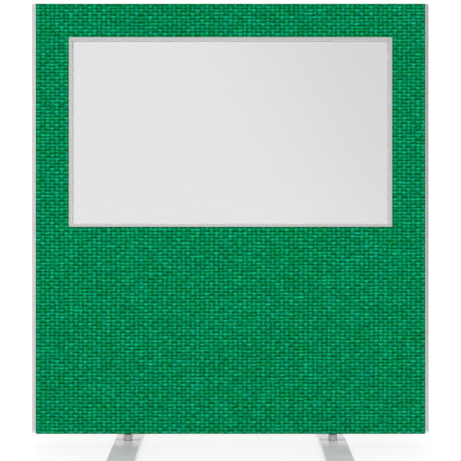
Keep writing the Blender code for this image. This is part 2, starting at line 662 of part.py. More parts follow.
def build_foot(label, side, bottom_rail, screw, bolt):
    """One foot on its own pivot, with what clamps it to the bottom rail."""
    pivot = empty_at(f"{label}_foot_pivot", (side * FOOT_OFFSET, 0, 0))
    here = pivot.location
    plate_mesh = foot_plate_mesh("foot_plate")
    foot = add_object(f"{label}_foot_plate", plate_mesh, "silver_paint", (0, 0, FOOT_BOTTOM), pivot)
    collar = ring_profile(
        BOLT_HOLE_RADIUS, COLLAR_DIAMETER / 2, COLLAR_BOTTOM, COLLAR_TOP, COLLAR_CHAMFER
    )
    collar_mesh = turned_mesh("collar", collar, FINE_SEGMENTS)
    add_object(f"{label}_foot_collar", collar_mesh, "silver_paint", (0, 0, 0), pivot)
    bolt_drill = cutting_rod(
        f"{label}_bolt_drill", BOLT_HOLE_RADIUS, 0.0, BOLT_TOP + GAP, (0, 0, 0), pivot
    )
    seat_radius = BOLT_WASHER_DIAMETER / 2 + TURNING_GAP
    seat_drill = cutting_rod(
        f"{label}_seat_drill", seat_radius, 0.0, FOOT_BOTTOM + BOLT_SEAT_DEPTH, (0, 0, 0), pivot
    )
    combine(foot, bolt_drill)
    combine(foot, seat_drill)
    for end, direction in (("front", -1), ("back", 1)):
        place = (0, direction * (FOOT_LENGTH / 2 - GLIDE_INSET), 0)
        drill = cutting_rod(
            f"{label}_{end}_stud_drill", STUD_DIAMETER / 2 + TURNING_GAP, 0.0,
            FOOT_BOTTOM + STUD_LENGTH + GAP, place, pivot,
        )
        combine(foot, drill)
        add_object(f"{label}_{end}_glide", glide_mesh("glide"), "nylon", place, pivot)

    add_object(f"{label}_pivot_bolt", bolt.copy(), "zinc", here)
    low, high = BOLT_WASHER_TOP - BOLT_WASHER_THICKNESS, BOLT_WASHER_TOP
    ring = ring_profile(BOLT_HOLE_RADIUS, BOLT_WASHER_DIAMETER / 2, low, high)
    add_object(f"{label}_bolt_washer", turned_mesh("washer", ring, ROUND_SEGMENTS), "zinc", here)
    low, high = FRICTION_WASHER_TOP - FRICTION_WASHER_THICKNESS, FRICTION_WASHER_TOP
    ring = ring_profile(BOLT_HOLE_RADIUS, FRICTION_WASHER_DIAMETER / 2, low, high)
    washer_mesh = turned_mesh("friction_washer", ring, ROUND_SEGMENTS)
    add_object(f"{label}_friction_washer", washer_mesh, "nylon", here)

    low = (here.x - MOUNT_PLATE_LENGTH / 2, -PLATE_HALF_DEPTH, PLATE_BOTTOM)
    high = (here.x + MOUNT_PLATE_LENGTH / 2, PLATE_HALF_DEPTH, PLATE_TOP)
    mount_plate = block(f"{label}_mount_plate", low, high, "zinc")
    combine(mount_plate, bolt_drill)
    for number, toward in ((1, -1), (2, 1)):
        seat = (here.x + toward * MOUNT_SCREW_SPACING / 2, 0, PLATE_BOTTOM - GAP)
        name = f"{label}_mount_screw_{number}"
        add_screw(name, screw, seat, (0, 0, 1), (mount_plate, bottom_rail))

    insert_top = CORE_BOTTOM + INSERT_LENGTH
    ring = ring_profile(BOLT_HOLE_RADIUS, INSERT_DIAMETER / 2, CORE_BOTTOM, insert_top)
    insert_mesh = turned_mesh("threaded_insert", ring, ROUND_SEGMENTS)
    add_object(f"{label}_threaded_insert", insert_mesh, "zinc", here)
    insert_drill = cutting_rod(
        f"{label}_insert_drill", INSERT_DIAMETER / 2 + GAP, 0.0, BOLT_TOP + GAP, (0, 0, 0), pivot
    )
    combine(bottom_rail, insert_drill)


def build():
    for thing in list(bpy.data.objects):
        bpy.data.objects.remove(thing, do_unlink=True)
    left_stile, right_stile, bottom_rail = build_frame()
    build_infill()
    build_boards()
    build_cloth()
    build_beads()
    build_pane()
    build_gasket()
    screw = screw_mesh()
    build_trims((left_stile, right_stile), screw)
    bolt = bolt_mesh("pivot_bolt")
    for label, side in (("left", -1), ("right", 1)):
        build_foot(label, side, bottom_rail, screw, bolt)
    bpy.context.view_layer.update()


build()
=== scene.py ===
"""Looks of the partition screen: cloth relief, procedural materials, floor, light and camera.

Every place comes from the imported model. Lengths are in metres.
"""

import math

import bpy
import numpy as np
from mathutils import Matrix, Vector


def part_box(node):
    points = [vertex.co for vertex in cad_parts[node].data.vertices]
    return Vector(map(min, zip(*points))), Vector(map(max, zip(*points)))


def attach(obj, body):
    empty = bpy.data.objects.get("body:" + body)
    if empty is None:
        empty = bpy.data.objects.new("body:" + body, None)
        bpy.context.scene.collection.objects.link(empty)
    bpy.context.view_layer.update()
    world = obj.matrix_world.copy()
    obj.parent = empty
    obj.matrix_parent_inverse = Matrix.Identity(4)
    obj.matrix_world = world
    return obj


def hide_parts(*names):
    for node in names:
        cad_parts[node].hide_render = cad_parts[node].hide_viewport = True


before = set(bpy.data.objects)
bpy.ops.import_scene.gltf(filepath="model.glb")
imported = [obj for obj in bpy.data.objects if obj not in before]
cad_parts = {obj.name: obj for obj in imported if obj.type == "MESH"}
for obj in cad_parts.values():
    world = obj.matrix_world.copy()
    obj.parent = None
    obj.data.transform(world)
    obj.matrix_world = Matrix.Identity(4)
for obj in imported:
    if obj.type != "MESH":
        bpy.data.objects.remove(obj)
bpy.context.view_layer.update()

SEED = 7

# ---- the cloth ----------------------------------------------------------------------------------
WARP_PITCH = 0.0141  # width of an upright strand
WEFT_PITCH = 0.0102  # height of a level strand
STRAND_JITTER = 0.07  # share of a pitch by which a strand's edge wanders
WARP_SAMPLES = (0.0, 0.25, 0.5, 0.75)  # where a strand is sampled across its width
WEFT_SAMPLES = (0.0, 0.33, 0.67)
OUT_OF_TURN = 0.06  # share of the crossings where the wrong strand is on top
STRAND_CORE = (0.08, 0.10)  # full height this far from a strand's middle, in widths: warp, weft
LIFT = (0.44, 0.38)  # how much higher a strand is where it is on top: warp, weft
WARP_TONES = (0.67, 0.89)  # the darkest and the lightest upright strand
WEFT_TONES = (0.745, 0.985)  # the darkest and the lightest level strand
WHOLE_STRAND = 0.12  # share of its tone that a strand keeps along its whole length
HOLE_PAINTED_SHADE = (0.35, 0.59)  # each shade is the two ends of a factor on the tone; the hole's ends are painted shade
CROWN_SHADE = (0.96, 1.04)
YARN_SHADE = (0.84, 1.03)
FIBRE_SHADE = (0.84, 1.16)
PATCH_SHADE = (0.98, 1.02)
UNDERSIDE_PAINTED_SHADE = (0.30, 0.11)  # painted shade on an upright strand's underside where it comes up, as if lit from above: most, least
ROW_PAINTED_SHADE = 0.95  # painted shade: factor on the tone between two level strands
HUES = (0.487, 0.514)  # 0.5 leaves the green as it is
YARNS_IN_STRAND = 3.0
YARN_SLANT = 0.45  # yarns that cross a strand's middle along one crossing
YARN_BUMP = 0.00035
GREENS = (
    (0.00, (0.0001, 0.013, 0.001)), (0.30, (0.0002, 0.065, 0.013)),
    (0.60, (0.0004, 0.167, 0.057)), (0.80, (0.0008, 0.272, 0.107)),
    (1.00, (0.0060, 0.440, 0.208)),
)
RELIEF = 0.0013  # from the bottom of a hole to the top of a strand
PROUD = 0.0004  # how far a strand stands over the plain cloth
HEM_RADIUS = 0.0022  # fold of the cloth under the bottom rail
TOP_RADIUS = 0.003
BEND_STEPS = 5
TURN_UNDER = 0.010
DRIFT = 0.0022  # how far the weave wanders from straight
DRIFT_MASK = 0.035  # it settles to straight this far from an edge
DRIFT_WAVES = 9
DRIFT_RATES = (14, 90)  # the slowest and the fastest wave, in radians per metre
LEAST_STEP = 0.0012  # sample lines closer than this to an edge or a bend are left out
SAME_PLACE = 1e-9
BEAD_PRESS = 0.25  # share of PROUD that is left where a bead presses on the cloth
BEAD_PRESS_FADE = 0.004  # it rises to the whole of PROUD over this distance from the bead
BOARD_CLEARANCE = 0.0003  # between the cloth and the board that it is stretched over
SHARP_ANGLE = 60  # degrees between faces that aren't shaded as one

# ---- glazing beads ------------------------------------------------------------------------------
BEAD_LIP = 0.001  # the bead's grey face turns to the whiter wall's painted light this far behind the cloth's face
BEAD_WALL_PAINTED_LIGHT = 0.88  # how far the painted light on the wall behind the lip goes from the grey to the white
# the white is painted light on the bead's wall
BEAD_GREY, BEAD_PAINTED_LIGHT_WHITE = (0.37, 0.37, 0.37), (0.97, 0.97, 0.97)

# ---- stage and light ----------------------------------------------------------------------------
FLOOR_REACH = 400.0
FLOOR_GLOW = 0.69
SKY_IN_FRONT, SKY_BEHIND = 1.01, 1.06
SKY_TURN = (-0.35, 0.35)  # the direction's y at which it goes from one to the other
SKY_OVERHEAD = 2.3  # times as bright as at the horizon
SKY_RISE = (0.45, 0.95)  # the direction's z at which it goes from one to the other
KEY_SIZE = (2.4, 1.0)
KEY_POWER = 16.0
KEY_PLACE = Vector((-0.2, -3.1, 0.55))
KEY_AIM = Vector((0.0, 0.0, 0.65))
BOX_X = (-1.40, 2.60)
BOX_Z = (0.40, 1.95)
BOX_BEHIND_CAMERA = 0.05
BOX_GLOW = (2.60, 0.05)  # on its left, and on its lower right
BOX_FADE = (0.48, 1.93)  # where its glow starts and stops fading, along its slant
BOX_SLANT = 0.57
BOX_SOFT_EDGE = 0.35  # width of the dimmer band at its left end
BOX_EDGE_GLOW = 0.40  # share of its glow at the very end
CARD_X = 1.6
CARD_Y = (-3.2, -0.5)
CARD_Z = (0.1, 2.0)

# ---- the camera ---------------------------------------------------------------------------------
LENS = 86.6
SENSOR = 36.0
PANEL_SHARE = 0.862256  # the panel's width over the picture's
EYE_ABOVE_MIDDLE = 0.10508  # how far the lens is above the middle of the cloth
SHIFT_DOWN = 0.100868  # share of the picture by which the level view is moved down


# ---- node helpers -------------------------------------------------------------------------------
class Tree:
    """A material's or the world's nodes, with short calls for the arithmetic of patterns."""

    def __init__(self, name, owner=None):
        self.owner = owner or bpy.data.materials.new(name)
        self.owner.use_nodes = True
        self.nodes = self.owner.node_tree.nodes
        self.links = self.owner.node_tree.links
        self.shader = self.nodes["Background" if owner else "Principled BSDF"]

    def put(self, socket, value):
        """Link a socket, or set it to a constant."""
        if isinstance(value, bpy.types.NodeSocket):
            self.links.new(value, socket)
        elif value is not None:
            socket.default_value = value

    def math(self, operation, a, b=None, c=None):
        node = self.nodes.new("ShaderNodeMath")
        node.operation = operation
        for socket, value in zip(node.inputs, (a, b, c)):
            self.put(socket, value)
        return node.outputs[0]

    def ramp(self, value, low, high, to_low=0.0, to_high=1.0):
        """A smooth step from one number to another."""
        node = self.nodes.new("ShaderNodeMapRange")
        node.interpolation_type = "SMOOTHSTEP"
        for name, item in (
            ("Value", value), ("From Min", low), ("From Max", high),
            ("To Min", to_low), ("To Max", to_high),
        ):
            self.put(node.inputs[name], item)
        return node.outputs["Result"]

    def blend(self, share, first, second):
        """A number between two others."""
        node = self.nodes.new("ShaderNodeMix")
        for socket, value in zip(node.inputs[:4], (share, None, first, second)):
            self.put(socket, value)
        return node.outputs[0]

    def colours(self, value, stops):
        """A colour ramp."""
        node = self.nodes.new("ShaderNodeValToRGB")
        self.put(node.inputs[0], value)
        ramp = node.color_ramp
        while len(ramp.elements) < len(stops):
            ramp.elements.new(0.5)
        for element, (place, colour) in zip(ramp.elements, stops):
            element.position = place
            element.color = (*colour, 1.0)
        return node.outputs["Color"]

    def place(self, scale=(1.0, 1.0, 1.0)):
        """The piece's own coordinates, stretched."""
        node = self.nodes.new("ShaderNodeTexCoord")
        stretch = self.nodes.new("ShaderNodeMapping")
        stretch.inputs["Scale"].default_value = scale
        self.links.new(node.outputs["Object"], stretch.inputs["Vector"])
        return stretch.outputs["Vector"]

    def noise(self, vector, scale, detail=3.0, roughness=0.5):
        node = self.nodes.new("ShaderNodeTexNoise")
        self.put(node.inputs["Vector"], vector)
        node.inputs["Scale"].default_value = scale
        node.inputs["Detail"].default_value = detail
        node.inputs["Roughness"].default_value = roughness
        return node.outputs["Fac"]

    def attribute(self, name):
        """What the mesh stores under a name."""
        node = self.nodes.new("ShaderNodeAttribute")
        node.attribute_name = name
        return node.outputs

    def split(self, vector):
        node = self.nodes.new("ShaderNodeSeparateXYZ")
        self.links.new(vector, node.inputs[0])
        return node.outputs

    def join(self, x, y, z):
        node = self.nodes.new("ShaderNodeCombineXYZ")
        for socket, value in zip(node.inputs, (x, y, z)):
            self.put(socket, value)
        return node.outputs[0]

    def bump(self, height, distance, strength):
        node = self.nodes.new("ShaderNodeBump")
        node.inputs["Distance"].default_value = distance
        node.inputs["Strength"].default_value = strength
        self.links.new(height, node.inputs["Height"])
        return node.outputs["Normal"]

    def surface(self, **values):
        """Set or link the shader's sockets, and return the material."""
        for name, value in values.items():
            self.put(self.shader.inputs[name.replace("_", " ")], value)
        return self.owner


# ---- materials ----------------------------------------------------------------------------------
def cloth_material():
    """Plain weave in heather green: strands of fine yarns, with painted shade in the holes between
    them.
    """
    t = Tree("green_weave")
    u, v, upright = t.split(t.attribute("lie")["Vector"])
    warp_tone, weft_tone, chance = t.split(t.attribute("thread")["Vector"])
    side = t.math("MULTIPLY_ADD", upright, 2.0, -1.0)

    def strand(across, along, side, core, most_lift):
        off_middle = t.math("ABSOLUTE", t.math("SUBTRACT", across, 0.5))
        lift = t.math("MULTIPLY", side, t.math("SINE", t.math("MULTIPLY", along, math.pi)))
        body = t.ramp(off_middle, core, 0.5, 1.0, 0.0)
        return t.math("MULTIPLY", body, t.math("MULTIPLY_ADD", lift, most_lift, 1.0 - most_lift))

    warp = strand(u, v, side, STRAND_CORE[0], LIFT[0])
    weft = strand(v, u, t.math("MULTIPLY", side, -1.0), STRAND_CORE[1], LIFT[1])
    height = t.math("MAXIMUM", warp, weft)
    on_warp = t.ramp(t.math("SUBTRACT", warp, weft), -0.05, 0.05)

    across = t.blend(on_warp, v, u)
    along = t.blend(on_warp, u, v)
    twist = t.math("MULTIPLY_ADD", along, YARN_SLANT, t.math("MULTIPLY", across, YARNS_IN_STRAND))
    yarns = t.math("ABSOLUTE", t.math("SINE", t.math("MULTIPLY", twist, math.pi)))
    stretched = (t.math("MULTIPLY", a, b) for a, b in ((along, 4.0), (across, 20.0), (chance, 90.0)))
    fibres = t.noise(t.join(*stretched), 1.0, 2.0)
    patches = t.noise(t.place(), 13.0, 3.0, 0.6)
    uneven = t.ramp(t.noise(t.place((115.0, 115.0, 160.0)), 1.0, 0.0), 0.25, 0.75)

    # painted shade: darker in the holes, between two rows, and on a warp strand's underside where it
    # comes up from below, as if lit from above
    off_row = t.math("ABSOLUTE", t.math("SUBTRACT", v, 0.5))
    hole, crown = t.blend(uneven, *HOLE_PAINTED_SHADE), t.blend(uneven, *CROWN_SHADE)
    shade = t.ramp(height, 0.05, 1.0, hole, crown)
    shade = t.math("MULTIPLY", shade, t.ramp(off_row, 0.12, 0.5, 1.0, ROW_PAINTED_SHADE))
    # painted shade as if lit from above: darker where the upright strand's surface faces down
    slope = t.math("MULTIPLY", side, t.math("COSINE", t.math("MULTIPLY", v, math.pi)))
    underside = t.math("MULTIPLY", slope, t.math("SINE", t.math("MULTIPLY", u, math.pi)))
    underside = t.math("MULTIPLY", underside, t.blend(uneven, *UNDERSIDE_PAINTED_SHADE))
    shade = t.math("MULTIPLY", shade, t.math("SUBTRACT", 1.0, underside))
    tone = t.math("MULTIPLY", shade, t.blend(on_warp, weft_tone, warp_tone))
    for pattern, ends in ((yarns, YARN_SHADE), (fibres, FIBRE_SHADE), (patches, PATCH_SHADE)):
        tone = t.math("MULTIPLY", tone, t.blend(pattern, *ends))
    hue = t.nodes.new("ShaderNodeHueSaturation")
    t.put(hue.inputs["Color"], t.colours(tone, GREENS))
    t.put(hue.inputs["Hue"], t.blend(chance, *HUES))
    relief = t.math("ADD", t.math("MULTIPLY", yarns, 0.7), t.math("MULTIPLY", fibres, 0.6))
    return t.surface(
        Base_Color=hue.outputs["Color"], Roughness=0.95, Specular_IOR_Level=0.02,
        Normal=t.bump(relief, YARN_BUMP, 0.8),
    )


def aluminium_material(name, tone, stretch):
    """Satin anodised extrusion with die lines along its length."""
    t = Tree(name)
    lines = t.noise(t.place(stretch), 1.0, 4.0, 0.65)
    cloud = t.noise(t.place(), 6.0, 3.0)
    dark, light = (tuple(share * c for c in tone) for share in (0.90, 1.06))
    return t.surface(
        Base_Color=t.colours(t.blend(0.35, lines, cloud), ((0.25, dark), (0.75, light))),
        Metallic=0.65, Roughness=t.ramp(lines, 0.2, 0.8, 0.34, 0.50),
        Normal=t.bump(lines, 0.00003, 0.6),
    )


def bead_material(name, stretch):
    """Pale satin extrusion, grey on its face, with painted light on the wall that runs back to the
    pane: that wall is coloured whiter.
    """
    t = Tree(name)
    lines = t.noise(t.place(stretch), 1.0, 4.0, 0.65)
    _, y, _ = t.split(t.place())
    face = t.ramp(t.math("ABSOLUTE", y), BEAD_INNER_Y, BEAD_OUTER_Y)
    share = t.math("MULTIPLY_ADD", lines, 1.0 - BEAD_WALL_PAINTED_LIGHT, t.blend(face, BEAD_WALL_PAINTED_LIGHT, 0.0))
    return t.surface(
        Base_Color=t.colours(share, ((0.0, BEAD_GREY), (1.0, BEAD_PAINTED_LIGHT_WHITE))),
        Metallic=0.2, Roughness=t.ramp(lines, 0.2, 0.8, 0.36, 0.50),
        Normal=t.bump(lines, 0.00003, 0.6),
    )


def silver_paint_material(name, dark, light):
    """Glossy powder coat with a fine orange peel and darker flecks."""
    t = Tree(name)
    place = t.place()
    peel = t.noise(place, 900.0, 2.0)
    flecks = t.noise(place, 2600.0, 1.0)
    cloud = t.noise(place, 9.0, 4.0, 0.6)
    share = t.math("ADD", t.math("MULTIPLY", flecks, 0.45), t.math("MULTIPLY", cloud, 0.55))
    return t.surface(
        Base_Color=t.colours(share, ((0.30, dark), (0.70, light))),
        Roughness=t.ramp(cloud, 0.2, 0.8, 0.17, 0.24),
        Specular_IOR_Level=0.55, Normal=t.bump(peel, 0.00003, 0.4),
    )


def plastic_material(name, dark, light, roughness):
    """Moulded plastic with a fine spark-eroded grain."""
    t = Tree(name)
    grain = t.noise(t.place(), 1400.0, 2.0)
    cloud = t.noise(t.place(), 30.0, 3.0)
    return t.surface(
        Base_Color=t.colours(cloud, ((0.3, dark), (0.7, light))),
        Roughness=t.ramp(grain, 0.2, 0.8, roughness - 0.06, roughness + 0.08),
        Normal=t.bump(grain, 0.00005, 0.5),
    )


def zinc_material():
    """Bright zinc plating with a slight crystalline mottle."""
    t = Tree("zinc_plate")
    mottle = t.noise(t.place(), 260.0, 4.0, 0.6)
    return t.surface(
        Base_Color=t.colours(mottle, ((0.3, (0.50, 0.50, 0.47)), (0.7, (0.72, 0.72, 0.70)))),
        Metallic=1.0, Roughness=t.ramp(mottle, 0.2, 0.8, 0.26, 0.42),
        Normal=t.bump(mottle, 0.00004, 0.4),
    )


def wood_material(name, dark, light, along):
    """Straight softwood grain that runs along one axis."""
    t = Tree(name)
    stretch = [90.0, 90.0, 90.0]
    stretch["XYZ".index(along)] = 3.0
    grain = t.noise(t.place(stretch), 1.0, 5.0, 0.6)
    pores = t.noise(t.place([8 * s for s in stretch]), 1.0, 2.0)
    share = t.math("ADD", t.math("MULTIPLY", grain, 0.75), t.math("MULTIPLY", pores, 0.25))
    return t.surface(
        Base_Color=t.colours(share, ((0.30, dark), (0.68, light))), Roughness=0.72,
        Normal=t.bump(share, 0.0002, 0.5),
    )


def fibre_material(name, dark, light, scale, depth):
    """Pressed or felted fibre."""
    t = Tree(name)
    felt = t.noise(t.place((scale, scale, scale)), 1.0, 6.0, 0.7)
    return t.surface(
        Base_Color=t.colours(felt, ((0.3, dark), (0.7, light))), Roughness=0.92,
        Normal=t.bump(felt, depth, 0.7),
    )


def pane_material():
    """Clear acrylic with a grey tint and faint wiping marks in its gloss."""
    t = Tree("grey_acrylic")
    wiped = t.noise(t.place((5.0, 5.0, 1.6)), 1.0, 4.0, 0.6)
    return t.surface(
        Base_Color=(0.665, 0.665, 0.665, 1.0), Transmission_Weight=1.0, IOR=1.49,
        Roughness=t.ramp(wiped, 0.3, 0.8, 0.012, 0.03),
    )


def rubber_material():
    """Grey rubber with a slight bloom, made paler as painted light where it sits in the bead's shade.
    """
    t = Tree("pale_rubber")
    bloom = t.noise(t.place(), 120.0, 4.0, 0.6)
    return t.surface(
        Base_Color=t.colours(bloom, ((0.3, (0.66, 0.66, 0.66)), (0.7, (0.78, 0.78, 0.78)))),
        Roughness=0.7, Normal=t.bump(bloom, 0.0001, 0.5),
    )


def cover(material, *names):
    """Put a material on every slot of the named nodes."""
    for name in names:
        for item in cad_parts[name].material_slots:
            item.material = material


# ---- cloth geometry -----------------------------------------------------------------------------
def sample_lines(edges, samples, fixed):
    """Where the cloth is sampled: in each strand and at every edge or bend that must be met."""
    width = np.diff(edges)
    lines = np.sort(np.concatenate([edges[:-1] + share * width for share in samples]))
    far = np.min(np.abs(lines[:, None] - np.array(fixed)[None, :]), axis=1) > LEAST_STEP
    return np.sort(np.concatenate([lines[far], fixed]))


class Path:
    """The cloth's outer face seen from the side, from its front hem over the top to its back hem."""

    FRONT_FACE, BACK_FACE = 2, 6  # their places among the pieces

    def __init__(self, low, high):
        out, bottom, top = high.y, low.z, high.z
        hem, fold = HEM_RADIUS, TOP_RADIUS
        self.pieces = []
        self.length = 0.0
        self.fold_at = out - fold  # from the middle of the path to the bends at the top
        self.line((-out + TURN_UNDER, bottom), (-out + hem, bottom))
        self.bend((-out + hem, bottom + hem), hem, -90)
        self.line((-out, bottom + hem), (-out, top - fold))
        self.bend((-out + fold, top - fold), fold, 180)
        self.line((-out + fold, top), (out - fold, top))
        self.bend((out - fold, top - fold), fold, 90)
        self.line((out, top - fold), (out, bottom + hem))
        self.bend((out - hem, bottom + hem), hem, 0)
        self.line((out - hem, bottom), (out - TURN_UNDER, bottom))

    def line(self, start, end):
        start, end = np.array(start), np.array(end)
        size = np.linalg.norm(end - start)
        self.pieces.append(("line", self.length, size, start, (end - start) / size))
        self.length += size

    def bend(self, centre, radius, start):
        size = radius * math.pi / 2
        turn = (radius, math.radians(start))
        self.pieces.append(("bend", self.length, size, np.array(centre), turn))
        self.length += size

    def fixed(self):
        """The path lengths at which a bend has a sample."""
        found = [0.0, self.length]
        for kind, begin, size, _, _ in self.pieces:
            if kind == "bend":
                found += [begin + size * i / BEND_STEPS for i in range(BEND_STEPS + 1)]
        return found

    def at(self, s):
        """Points and outward normals in the (y, z) plane."""
        place = np.zeros((len(s), 2))
        normal = np.zeros((len(s), 2))
        for kind, begin, size, origin, data in self.pieces:
            here = (s >= begin - SAME_PLACE) & (s <= begin + size + SAME_PLACE)
            run = s[here] - begin
            if kind == "line":
                place[here] = origin + run[:, None] * data
                normal[here] = (-data[1], data[0])
            else:
                radius, start = data
                angle = start - run / radius
                outward = np.stack([np.cos(angle), np.sin(angle)], 1)
                place[here] = origin + radius * outward
                normal[here] = outward
        return place, normal

    def length_at(self, height, back):
        """Path length at which the front or the back face reaches a height."""
        face = self.BACK_FACE if back else self.FRONT_FACE
        _, begin, _, origin, direction = self.pieces[face]
        return begin + (height - origin[1]) * direction[1]


class Weave:
    """A plain weave with uneven strands, some of which lie out of turn."""

    def __init__(self, columns, rows):
        rng = np.random.default_rng(SEED)
        self.columns = self.strand_edges(*columns, WARP_PITCH, rng)
        self.rows = self.strand_edges(*rows, WEFT_PITCH, rng)
        size = len(self.columns) - 1, len(self.rows) - 1
        i, j = np.indices(size)
        self.upright = (i + j) % 2 == np.where(rng.random(size) < OUT_OF_TURN, 0, 1)
        self.warp_tone = self.tones((size[0], 1), size, WARP_TONES, rng)
        self.weft_tone = self.tones((1, size[1]), size, WEFT_TONES, rng)
        self.chance = rng.random(size)

    @staticmethod
    def strand_edges(start, end, pitch, rng):
        """Edges of the strands between two places, each a little off its even place."""
        count = round((end - start) / pitch)
        edges = np.linspace(start, end, count + 1)
        edges[1:-1] += rng.uniform(-1, 1, count - 1) * STRAND_JITTER * pitch
        return edges

    @staticmethod
    def tones(whole, size, limits, rng):
        """A tone for each stretch of a strand, and a slight one for the whole strand."""
        low, high = limits
        share = (1 - WHOLE_STRAND) * rng.random(size) + WHOLE_STRAND * rng.random(whole)
        return low + (high - low) * share

    def coordinates(self, a, s):
        """Places on the cloth counted in strands."""
        x = np.interp(a, self.columns, np.arange(len(self.columns)))
        y = np.interp(s, self.rows, np.arange(len(self.rows)))
        return x, y

    def cell(self, x, y):
        """The crossing that holds each place."""
        last_x, last_y = (count - 1 for count in self.upright.shape)
        return np.floor(x).astype(int).clip(0, last_x), np.floor(y).astype(int).clip(0, last_y)

    def height(self, x, y):
        """0 in a hole and 1 on the crown of a strand, at places counted in strands."""
        cell = self.cell(x, y)
        u, v = (x - cell[0]).clip(0, 1), (y - cell[1]).clip(0, 1)
        side = np.where(self.upright[cell], 1, -1)

        def strand(across, along, side, core, lift):
            body = 1 - smoothstep((np.abs(across - 0.5) - core) / (0.5 - core))
            return body * (1 - lift + lift * side * np.sin(np.pi * along))

        warp = strand(u, v, side, STRAND_CORE[0], LIFT[0])
        return np.maximum(warp, strand(v, u, -side, STRAND_CORE[1], LIFT[1]))


def smoothstep(x):
    """From 0 to 1 without a kink."""
    x = x.clip(0, 1)
    return x * x * (3 - 2 * x)


def drift(a, s, seed):
    """A slow wander of the weave, from -1 to 1."""
    rng = np.random.default_rng(seed)
    total = np.zeros_like(a)
    for _ in range(DRIFT_WAVES):
        turn, phase = rng.uniform(0, math.tau, 2)
        rate = rng.uniform(*DRIFT_RATES)
        total += np.sin(rate * (a * math.cos(turn) + s * math.sin(turn)) + phase)
    return total / DRIFT_WAVES


